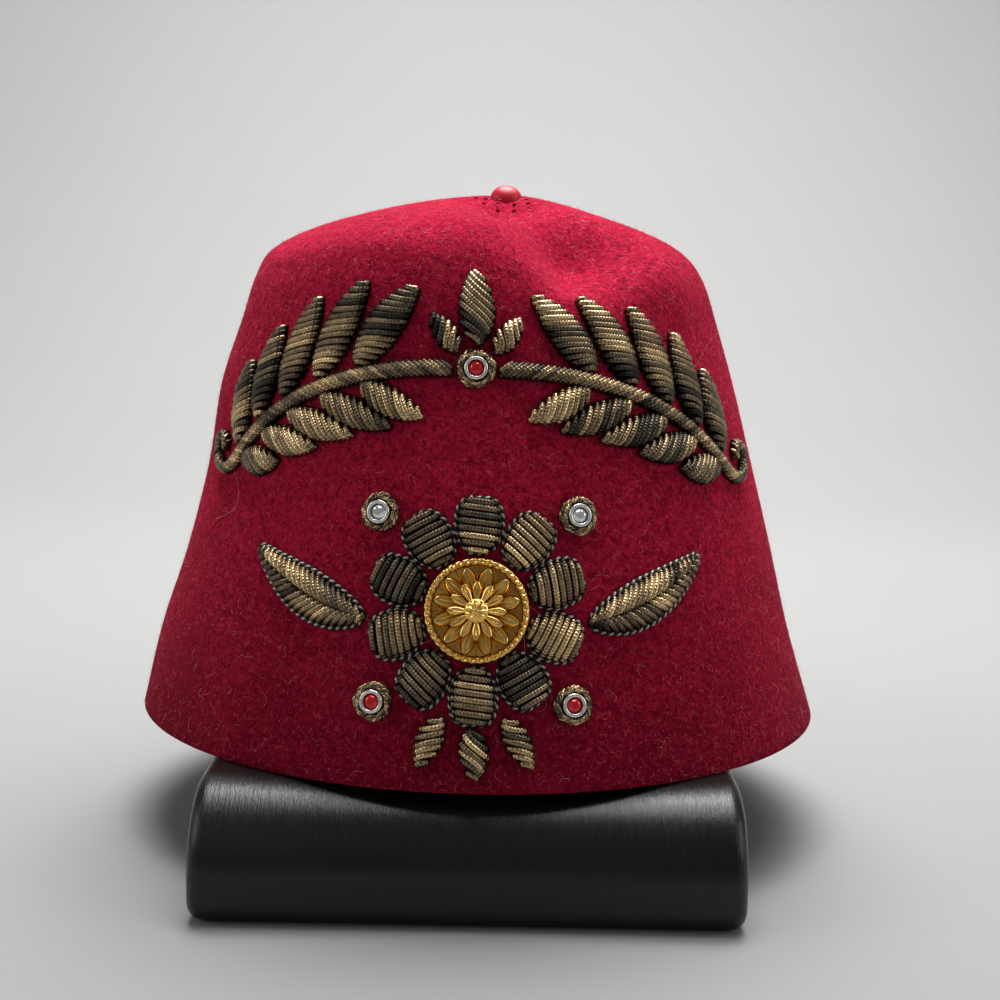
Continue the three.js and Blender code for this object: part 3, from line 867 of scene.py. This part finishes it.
def bullion_strip(name, strip, thread, rng, slant=None, node=None):
    """One embroidered piece: its pad, its wires and, with no slant, veins that meet in the middle."""
    heap = WireHeap()
    add_pad(heap, strip, thread.pad / MM)
    if slant is None:
        lay_veins(heap, strip, rng, thread)
    else:
        lay_wires(heap, strip, rng, thread, slant)
    piece = heap.build(name)
    finish_piece(piece, bullion_wire(thread), "bullion", node or name)
    return piece


# Operators

class FezOperator:
    """Shared by all operators of this add-on."""

    bl_options = {"REGISTER", "UNDO"}

    def execute(self, context):
        self.build(context.scene)
        return {"FINISHED"}


class FEZ_OT_felt_crown(FezOperator, bpy.types.Operator):
    """Wrap a grid into the felt crown, give it its wall and punch the vents"""

    bl_idname = "fez.felt_crown"
    bl_label = "Felt Crown"

    def build(self, scene):
        felt = scene.fez_felt
        crown = grid_of(
            "felt_crown_soft", felt.sides, felt.levels,
            lambda across, along: to_frame(felt_point(2 * math.pi * across, TOP_LEVEL * along)))
        add_modifier(crown, "SOLIDIFY", thickness=felt.wall, offset=-1, use_even_offset=True)
        add_modifier(
            crown, "BEVEL", width=0.5 * MM, segments=2, limit_method="ANGLE", angle_limit=math.radians(50))
        vents = self.vent_pins()
        add_modifier(crown, "BOOLEAN", operation="DIFFERENCE", solver="EXACT", object=vents)
        bpy.data.objects.remove(vents)
        make_active(crown)
        bpy.ops.object.shade_smooth_by_angle(angle=math.radians(50))
        finish_piece(crown, napped_felt(felt), "felt", "felt_crown")

    def vent_pins(self):
        """Pins that punch the rings of holes round the button."""
        middle = felt_point(0.0, float(TOP_LEVEL))
        pins = []
        for ring in VENT_RINGS:
            for k in range(ring["count"]):
                turn = 2 * math.pi * (k + 0.5) / ring["count"]
                away = np.array([math.sin(turn), -math.cos(turn), 0]) * ring["radius"]
                spot = middle + away - [0, 0, VENT_PIN["sink"]]
                deselect_all()
                bpy.ops.mesh.primitive_cylinder_add(
                    vertices=14, radius=VENT_PIN["radius"] * MM, depth=VENT_PIN["length"] * MM,
                    location=to_frame(spot))
                pins.append(bpy.context.object)
        for pin in pins:
            pin.select_set(True)
        bpy.ops.object.join()
        return bpy.context.object


class FEZ_OT_felt_nap(FezOperator, bpy.types.Operator):
    """Raise the felt's short nap and scatter loose lint and a few hairs over it"""

    bl_idname = "fez.felt_nap"
    bl_label = "Felt Nap"

    def build(self, scene):
        felt = scene.fez_felt
        rng = np.random.default_rng(SEED)
        nap = WireHeap()
        self.fibres(
            nap, rng, felt.nap_count, points=3, lengths=(0.6, 1.5), leans=(25, 75), radius=0.032,
            tones=(0.0, 0.45), curl=0.3)
        finish_piece(nap.build("felt_nap"), loose_fibre(felt), "felt")
        lint = WireHeap()
        self.fibres(
            lint, rng, felt.lint_count, points=5, lengths=(0.7, 2.0), leans=(62, 86), radius=0.036,
            tones=(0.15, 0.8), curl=1.3)
        self.fibres(
            lint, rng, felt.lint_count // 8, points=9, lengths=(1.6, 4.6), leans=(70, 88), radius=0.036,
            tones=(0.5, 1.0), curl=1.3)
        self.fibres(
            lint, rng, count=9, points=26, lengths=(12, 26), leans=(80, 89), radius=0.04,
            tones=(0.8, 1.0), curl=1.6)
        finish_piece(lint.build("felt_lint"), loose_fibre(felt), "felt")

    def spread(self, rng, count):
        """Angles and levels spread evenly over the felt's area."""
        columns, rows = 72, 90
        around = np.linspace(0, 2 * math.pi, columns + 1)[:-1]
        upward = np.linspace(0.05, TOP_LEVEL - 0.3, rows)
        angle, level = np.meshgrid(around, upward, indexing="ij")
        step = 0.01
        area = np.linalg.norm(np.cross(
            felt_point(angle + step, level) - felt_point(angle, level),
            felt_point(angle, level + step) - felt_point(angle, level)), axis=-1).ravel()
        cell = rng.choice(area.size, count, p=area / area.sum())
        return (angle.ravel()[cell] + rng.uniform(0, 2 * math.pi / columns, count),
                level.ravel()[cell] + rng.uniform(-0.05, 0.05, count))

    def fibres(self, heap, rng, count, points, lengths, leans, radius, tones, curl):
        """Fibres rooted in the felt that lean over by an angle from upright and curl to the side."""
        angle, level = self.spread(rng, count)
        root, normal = felt_point(angle, level), felt_normal(angle, level)
        side = unit(np.cross(normal, rng.normal(0, 1, (count, 3))))
        other = np.cross(normal, side)
        lean = np.radians(rng.uniform(*leans, count))[:, None]
        length = rng.uniform(*lengths, count)[:, None]
        t = np.linspace(0, 1, points)
        sway = rng.uniform(-1, 1, (count, 1)) * curl * np.sin(t * rng.uniform(1.5, 6, (count, 1)))
        ahead = length * np.sin(lean) * t
        lift = length * np.cos(lean) * np.sin(t * math.pi * rng.uniform(0.4, 0.75, (count, 1))) - 0.05
        paths = (root[:, None] + ahead[..., None] * side[:, None]
                 + (0.35 * sway * length)[..., None] * other[:, None] + lift[..., None] * normal[:, None])
        shade = np.zeros((count, points, 4))
        shade[..., 0] = rng.uniform(*tones, (count, 1))
        thin = radius * (1 - 0.7 * t) * np.ones((count, 1))
        heap.tubes(to_frame(paths), thin * MM, normal[:, None] + 0.3 * other[:, None], 3, shade)


class FEZ_OT_top_button(FezOperator, bpy.types.Operator):
    """Cut a glossy button from a flattened ball"""

    bl_idname = "fez.top_button"
    bl_label = "Top Button"

    def build(self, scene):
        radius, height = BUTTON["radius"] * MM, BUTTON["height"] * MM
        deselect_all()
        bpy.ops.mesh.primitive_uv_sphere_add(segments=64, ring_count=40, radius=radius)
        button = name_piece("top_button_gloss")
        bpy.ops.object.mode_set(mode="EDIT")
        bpy.ops.mesh.select_all(action="SELECT")
        bpy.ops.transform.resize(value=(1, 1, BUTTON["dome"] * height / radius))
        below = (BUTTON["dome"] - 1) * height
        bpy.ops.mesh.bisect(plane_co=(0, 0, below), plane_no=(0, 0, 1), use_fill=True, clear_inner=True)
        bpy.ops.object.mode_set(mode="OBJECT")
        add_modifier(button, "BEVEL", width=0.3 * MM, segments=3, limit_method="ANGLE")
        make_active(button)
        bpy.ops.object.shade_smooth_by_angle(angle=math.radians(60))
        seat = Matrix.Translation(Vector(to_frame(felt_point(0.0, float(TOP_LEVEL)))))
        lean = Matrix.Rotation(BUTTON["lean"], 4, "X")
        settle(button, seat @ lean @ Matrix.Translation((0, 0, -BUTTON["sink"] * height)))
        finish_piece(button, glossy_button(scene.fez_felt), "button", "top_button")


class FEZ_OT_garland(FezOperator, bpy.types.Operator):
    """Lay bullion over the garland's stems, leaves and crest"""

    bl_idname = "fez.garland"
    bl_label = "Garland"

    def build(self, scene):
        thread = scene.fez_embroidery
        rng = np.random.default_rng(SEED + 1)
        for side, word in ((-1, "left"), (1, "right")):
            line = stem_line(side)
            taper = STEM_HALF * (1 - 0.45 * np.linspace(0, 1, len(line)))
            stem = Strip(line, taper)
            bullion_strip(f"stem_wires_{word}", stem, thread, rng, side * 1.3, f"garland_stem_{word}")
            for i, pair in enumerate(LEAF_PAIRS, 1):
                for place, sign in (("outer", -side), ("inner", side)):
                    strip = self.paired_leaf(stem, pair, place, sign)
                    bullion_strip(
                        f"leaf_wires_{word}_{place}_{i}", strip, thread, rng, side * thread.slant,
                        f"garland_leaf_{word}_{place}_{i}")
        for spec in SINGLE_LEAVES:
            leaf = {**spec, "heading": math.radians(spec["heading"])}
            node = leaf.pop("node")
            slant = thread.slant * (-1 if "left" in node else 1)
            bullion_strip(node.replace("leaf", "wires"), leaf_strip(**leaf), thread, rng, slant, node)

    def paired_leaf(self, stem, pair, place, sign):
        here, ahead = stem.at(np.array([pair["along"], pair["along"] - 1.0]))[0]
        inward = math.atan2(ahead[1] - here[1], ahead[0] - here[0])
        across = inward + sign * math.pi / 2
        clear = STEM_HALF + 0.75
        return leaf_strip(
            x=here[0] + clear * math.cos(across), rise=here[1] + clear * math.sin(across),
            heading=inward + sign * LEAF_ANGLE, length=pair[place], half=LEAF_HALF[place], bend=-2 * sign)


class FEZ_OT_flower(FezOperator, bpy.types.Operator):
    """Lay bullion over the petals and long leaves and couch a cord round each"""

    bl_idname = "fez.flower"
    bl_label = "Flower and Sprays"

    def build(self, scene):
        thread = scene.fez_embroidery
        rng = np.random.default_rng(SEED + 2)
        for k in range(FLOWER["petals"]):
            strip = petal_strip(k)
            bullion_strip(
                f"petal_wires_{k + 1}", strip.trimmed(0.45), thread, rng, 0.12, f"flower_petal_{k + 1}")
            self.edge(f"petal_cord_{k + 1}", strip, thread)
        for spec in SPRAY_LEAVES:
            leaf = {**spec, "heading": math.radians(spec["heading"])}
            node = leaf.pop("node")
            strip = leaf_strip(**leaf)
            bullion_strip(node.replace("leaf", "wires"), strip.trimmed(0.5), thread, rng, None, node)
            self.edge(node.replace("leaf", "cord"), strip, thread)

    def edge(self, name, strip, thread):
        finish_piece(edge_cord(strip, thread).build(name), edging_cord(thread), "bullion")


class FEZ_OT_gilt_boss(FezOperator, bpy.types.Operator):
    """Cast the gilt boss: a rope rim, two rings of petals and a beaded middle"""

    bl_idname = "fez.gilt_boss"
    bl_label = "Gilt Boss"

    def build(self, scene):
        radius = BOSS["radius"]
        boss = grid_of("gilt_boss_cast", 288, 84, self.face)
        bpy.ops.object.mode_set(mode="EDIT")
        bpy.ops.mesh.select_mode(type="EDGE")
        bpy.ops.mesh.select_all(action="DESELECT")
        bpy.ops.mesh.select_non_manifold()
        bpy.ops.mesh.extrude_edges_move(TRANSFORM_OT_translate={"value": (0, 0, -BOSS["rim"] * MM)})
        bpy.ops.mesh.edge_face_add()
        bpy.ops.mesh.select_all(action="SELECT")
        bpy.ops.mesh.normals_make_consistent(inside=False)
        bpy.ops.object.mode_set(mode="OBJECT")
        bpy.ops.object.shade_smooth_by_angle(angle=math.radians(45))
        mesh = boss.data
        flat = np.empty(len(mesh.vertices) * 3)
        mesh.vertices.foreach_get("co", flat)
        points = flat.reshape(-1, 3) / MM
        part = np.hypot(points[:, 0], points[:, 1]) / radius
        tones = np.zeros((len(points), 4), np.float32)
        # Low parts of the relief get a low tone, painted as darker gilt: painted shade in the hollows
        tones[:, 0] = np.clip((points[:, 2] - 1.2 - 1.3 * (1 - part)) / 1.6, 0, 1)
        mesh.attributes.new("tone", "FLOAT_COLOR", "POINT").data.foreach_set("color", tones.ravel())
        settle(boss, felt_seat(0, FLOWER["rise"], 0.4))
        finish_piece(boss, polished_gilt(scene.fez_metal), "gilt", "gilt_boss")

    def face(self, across, along):
        """Points of the boss's face at a turn and a distance from the rim inwards."""
        turn = 2 * math.pi * across
        radius = BOSS["radius"] * (1 - along)
        height = self.rise(turn, radius)
        height = np.where(along <= 0, BOSS["rim"], height)
        return np.stack([radius * np.cos(turn), radius * np.sin(turn), height], -1) * MM

    def rise(self, turn, radius):
        """Height of the face: rope, sloping ground, two rings of petals and a beaded middle."""
        off_rope = radius - BOSS["rope"]
        rope = np.sqrt(np.clip(1 - off_rope**2, 0, 1))
        height = BOSS["rim"] + 1.25 * rope * (0.8 + 0.2 * np.cos(40 * turn + 2.2 * off_rope))
        inside = radius < BOSS["ground"]
        height = np.where(inside, 1.5 + 0.16 * (BOSS["ground"] - radius), height)
        long_ring = self.petals(turn, radius, shift=0.0, inner=2.5, outer=11.0, lift=2.3)
        short_ring = self.petals(turn, radius, shift=0.5, inner=1.5, outer=7.4, lift=3.5)
        height = np.maximum(height, np.where(inside, np.maximum(long_ring, short_ring), 0))
        part = np.clip(radius / BOSS["middle"], 0, 1)
        middle = 3.9 + 1.4 * np.sqrt(1 - part**2)
        beads = 0.2 * np.cos(9 * turn) * np.sin(math.pi * part) ** 2
        return np.where(part < 1, middle + beads, height)

    def petals(self, turn, radius, shift, inner, outer, lift):
        """Raised petals with a vein, each filling its share of the ring between two radii."""
        part = np.clip((radius - inner) / (outer - inner), 0, 1)
        across = 2 * ((turn * BOSS["petals"] / (2 * math.pi) + shift) % 1) - 1
        width = 0.98 * np.sin(math.pi * np.clip(part, 0.02, 1) ** 0.8) ** 0.55 + 1e-6
        crown = np.sqrt(np.clip(1 - (across / width) ** 2, 0, 1))
        vein = 0.3 * np.exp(-((across / 0.13) ** 2)) * np.sin(math.pi * part)
        tip = 0.5 * part**2
        return np.where(np.abs(across) < width, lift + 1.0 * crown - vein - 0.6 + tip, 0)


class FEZ_OT_set_stones(FezOperator, bpy.types.Operator):
    """Cut the stones, turn their bezels and wind a nest of wire round each"""

    bl_idname = "fez.set_stones"
    bl_label = "Set Stones"

    def build(self, scene):
        rng = np.random.default_rng(SEED + 3)
        metal = scene.fez_metal
        for spec in STONES:
            name, x, rise = spec["name"], spec["x"], spec["rise"]
            seat = felt_seat(x, rise, BEZEL["lift"])
            bezel = self.bezel(f"bezel_turned_{name}")
            settle(bezel, seat)
            finish_piece(bezel, bright_bezel(metal), "silver", f"bezel_{name}")
            stone = self.stone(f"stone_cut_{name}")
            spin = Matrix.Rotation(rng.uniform(0, 3), 4, "Z")
            settle(stone, felt_seat(x, rise, BEZEL["stone_lift"]) @ spin)
            glass = red_stone(metal) if spec["colour"] == "red" else clear_stone(metal)
            finish_piece(stone, glass, f"{spec['colour']}_glass", f"stone_{name}")
            self.nest(f"nest_wires_{name}", scene.fez_embroidery, rng, seat, f"wire_nest_{name}")

    def bezel(self, name):
        """A cup with a rolled lip, inset and sunk from a round blank."""
        deselect_all()
        bpy.ops.mesh.primitive_cylinder_add(
            vertices=48, radius=BEZEL["radius"] * MM, depth=BEZEL["height"] * MM,
            location=(0, 0, BEZEL["height"] / 2 * MM))
        cup = name_piece(name)
        bpy.ops.object.transform_apply(location=True)
        bpy.ops.object.mode_set(mode="EDIT")
        select_parts(cup, "faces", lambda face, middle: face.normal.z > 0.9)
        bpy.ops.mesh.inset(thickness=BEZEL["lip"] * MM)
        bpy.ops.mesh.extrude_region_move(TRANSFORM_OT_translate={"value": (0, 0, -BEZEL["depth"] * MM)})
        bpy.ops.object.mode_set(mode="OBJECT")
        add_modifier(cup, "BEVEL", width=BEZEL["rounding"] * MM, segments=4, limit_method="ANGLE")
        make_active(cup)
        bpy.ops.object.shade_smooth_by_angle(angle=math.radians(40))
        return cup

    def stone(self, name):
        """A round brilliant: the hull of its table, crown, girdle and pavilion corners."""
        corners = []
        for ring in BRILLIANT:
            radius = ring["radius"]
            for k in range(ring["count"]):
                turn = 2 * math.pi * (k + ring["turn"]) / ring["count"]
                corners.append((radius * math.cos(turn), radius * math.sin(turn), ring["rise"]))
        mesh = bpy.data.meshes.new(name)
        mesh.from_pydata((np.array(corners) * MM).tolist(), [], [])
        gem = bpy.data.objects.new(name, mesh)
        bpy.context.scene.collection.objects.link(gem)
        make_active(gem)
        bpy.ops.object.mode_set(mode="EDIT")
        bpy.ops.mesh.select_all(action="SELECT")
        bpy.ops.mesh.convex_hull()
        bpy.ops.mesh.normals_make_consistent(inside=False)
        bpy.ops.object.mode_set(mode="OBJECT")
        return gem

    def nest(self, name, thread, rng, seat, node):
        """Three wires twisted into a wreath round the bezel, with a second, smaller twist on top."""
        heap = WireHeap()
        for ring in NEST_RINGS:
            points = ring["turns"] * 18
            around = 2 * math.pi * np.arange(points) / points
            phase = rng.uniform(0, 6)
            sway = 0.16 * np.sin(3 * around + phase) + 0.1 * np.sin(8 * around - phase)
            for strand in range(3):
                wound = ring["turns"] * around + 2 * math.pi * strand / 3
                out = ring["middle"] + ring["spread"] * np.cos(wound) + sway
                lift = ring["rise"] + ring["spread"] * np.sin(wound)
                path = np.stack([out * np.cos(around), out * np.sin(around), lift], -1) * MM
                path = path @ np.array(seat.to_3x3()).T + np.array(seat.translation)
                tones = np.zeros((1, points, 4))
                tones[..., 0] = 0.36 + 0.18 * strand + 0.16 * np.sin(2 * around + phase)
                # Painted shade: the end tone darkens each strand where it winds under the others
                tones[..., 1] = 0.45 - 0.45 * np.sin(wound)
                tones[..., 2] = around * 0.4
                radius = np.full((1, points), ring["wire"] * thread.wire)
                heap.tubes(path[None], radius, np.array(seat.col[2][:3]), 7, tones, True)
        finish_piece(heap.build(name), bullion_wire(thread), "bullion", node)


class FEZ_OT_stand(FezOperator, bpy.types.Operator):
    """Round the edges of a block into the black stand"""

    bl_idname = "fez.stand"
    bl_label = "Stand"

    def build(self, scene):
        sizes = scene.fez_stand
        low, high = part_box("stand")
        middle, span = (low + high) / 2, high - low
        deselect_all()
        bpy.ops.mesh.primitive_cube_add(size=1, location=middle, scale=span)
        block = name_piece("stand_satin")
        bpy.ops.object.transform_apply(location=True, scale=True)
        bpy.ops.object.mode_set(mode="EDIT")

        def lengthways(edge):
            return abs(edge.verts[0].co.x - edge.verts[1].co.x) > 0.9 * span.x

        def at_end(at):
            return abs(abs(at.x - middle.x) - span.x / 2) < 0.01 * MM

        select_parts(block, "edges", lambda edge, at: lengthways(edge) and at.z > middle.z)
        bpy.ops.mesh.bevel(offset=sizes.top_round, segments=28, affect="EDGES")
        select_parts(block, "edges", lambda edge, at: lengthways(edge) and at.z < low.z + 0.1 * MM)
        bpy.ops.mesh.bevel(offset=sizes.base_round, segments=10, affect="EDGES")
        select_parts(block, "edges", lambda edge, at: at_end(at) and not lengthways(edge))
        bpy.ops.mesh.bevel(offset=sizes.end_round, segments=8, affect="EDGES")
        bpy.ops.object.mode_set(mode="OBJECT")
        bpy.ops.object.shade_smooth_by_angle(angle=math.radians(35))
        finish_piece(block, satin_black(sizes), "stand", "stand")


class FEZ_OT_stage(FezOperator, bpy.types.Operator):
    """Lay the pale floor, hang the soft lights and set the camera"""

    bl_idname = "fez.stage"
    bl_label = "Stage"

    def build(self, scene):
        stage = scene.fez_stage
        self.floor(stage)
        hat, backdrop = (0, 0, 0.1), (0, 1.15, 0.45)
        self.light("overhead", place=(0.08, 0.18, 0.95), target=hat, size=0.9, power=stage.overhead)
        self.light("front_fill", place=(-0.55, -1.0, 0.75), target=hat, size=0.8, power=stage.fill)
        self.light("left_fill", place=(-1.0, -0.25, 0.5), target=hat, size=0.7, power=stage.sides)
        self.light("right_fill", place=(1.0, -0.25, 0.5), target=hat, size=0.7, power=stage.sides)
        self.light("backdrop_wash", place=(0, 0.45, 1.3), target=backdrop, size=0.9, power=stage.backdrop)
        world = bpy.data.worlds.new("even_light")
        world.use_nodes = True
        sky = world.node_tree.nodes["Background"]
        sky.inputs["Color"].default_value = (1, 1, 1, 1)
        sky.inputs["Strength"].default_value = stage.sky
        scene.world = world
        scene.view_settings.view_transform = "Standard"
        self.camera(scene, stage)

    def floor(self, stage):
        deselect_all()
        bpy.ops.mesh.primitive_plane_add(size=5, location=(0, -1.4, 0))
        floor = name_piece("pale_floor")
        bpy.ops.object.transform_apply(location=True)
        bpy.ops.object.mode_set(mode="EDIT")
        select_parts(floor, "edges", lambda edge, at: at.y > 1)
        bpy.ops.mesh.extrude_edges_move(TRANSFORM_OT_translate={"value": (0, 0, 2.5)})
        select_parts(floor, "edges", lambda edge, at: at.y > 1 and abs(at.z) < 0.01)
        bpy.ops.mesh.bevel(offset=0.5, segments=24, affect="EDGES")
        bpy.ops.object.mode_set(mode="OBJECT")
        bpy.ops.object.shade_smooth()
        floor.data.materials.append(pale_floor(stage))

    def light(self, name, place, target, size, power):
        lamp = bpy.data.lights.new(name, "AREA")
        lamp.shape = "DISK"
        lamp.size = size
        lamp.energy = power
        stand = bpy.data.objects.new(name, lamp)
        stand.location = place
        stand.rotation_euler = (Vector(place) - Vector(target)).to_track_quat("Z", "Y").to_euler()
        bpy.context.scene.collection.objects.link(stand)

    def camera(self, scene, stage):
        lens = bpy.data.cameras.new("photo_camera")
        lens.sensor_width = 36
        lens.lens = stage.lens
        lens.clip_start = 0.01
        camera = bpy.data.objects.new("photo_camera", lens)
        tilt = Matrix.Rotation(math.pi / 2 - stage.pitch, 4, "X") @ Matrix.Rotation(stage.roll, 4, "Z")
        camera.matrix_world = Matrix.Translation(stage.camera) @ tilt
        scene.collection.objects.link(camera)
        scene.camera = camera


class FEZ_PT_panel(bpy.types.Panel):
    """Lists the fez's pieces in the sidebar"""

    bl_idname = "FEZ_PT_panel"
    bl_label = "Fez on a Stand"
    bl_space_type = "VIEW_3D"
    bl_region_type = "UI"
    bl_category = "Fez"

    def draw(self, context):
        for operator in OPERATORS:
            self.layout.operator(operator.bl_idname)


OPERATORS = (
    FEZ_OT_felt_crown, FEZ_OT_felt_nap, FEZ_OT_top_button, FEZ_OT_garland, FEZ_OT_flower, FEZ_OT_gilt_boss,
    FEZ_OT_set_stones, FEZ_OT_stand, FEZ_OT_stage,
)
SETTINGS = dict(
    fez_felt=FezFelt, fez_embroidery=FezEmbroidery, fez_metal=FezMetal, fez_stand=FezStand,
    fez_stage=FezStage)


def register():
    for kind in (*SETTINGS.values(), *OPERATORS, FEZ_PT_panel):
        bpy.utils.register_class(kind)
    for name, kind in SETTINGS.items():
        setattr(bpy.types.Scene, name, PointerProperty(type=kind))


def unregister():
    for name in SETTINGS:
        delattr(bpy.types.Scene, name)
    for kind in reversed((*SETTINGS.values(), *OPERATORS, FEZ_PT_panel)):
        bpy.utils.unregister_class(kind)


def main():
    register()
    for operator in OPERATORS:
        group, call = operator.bl_idname.split(".")
        getattr(getattr(bpy.ops, group), call)()


if __name__ == "__main__":
    main()
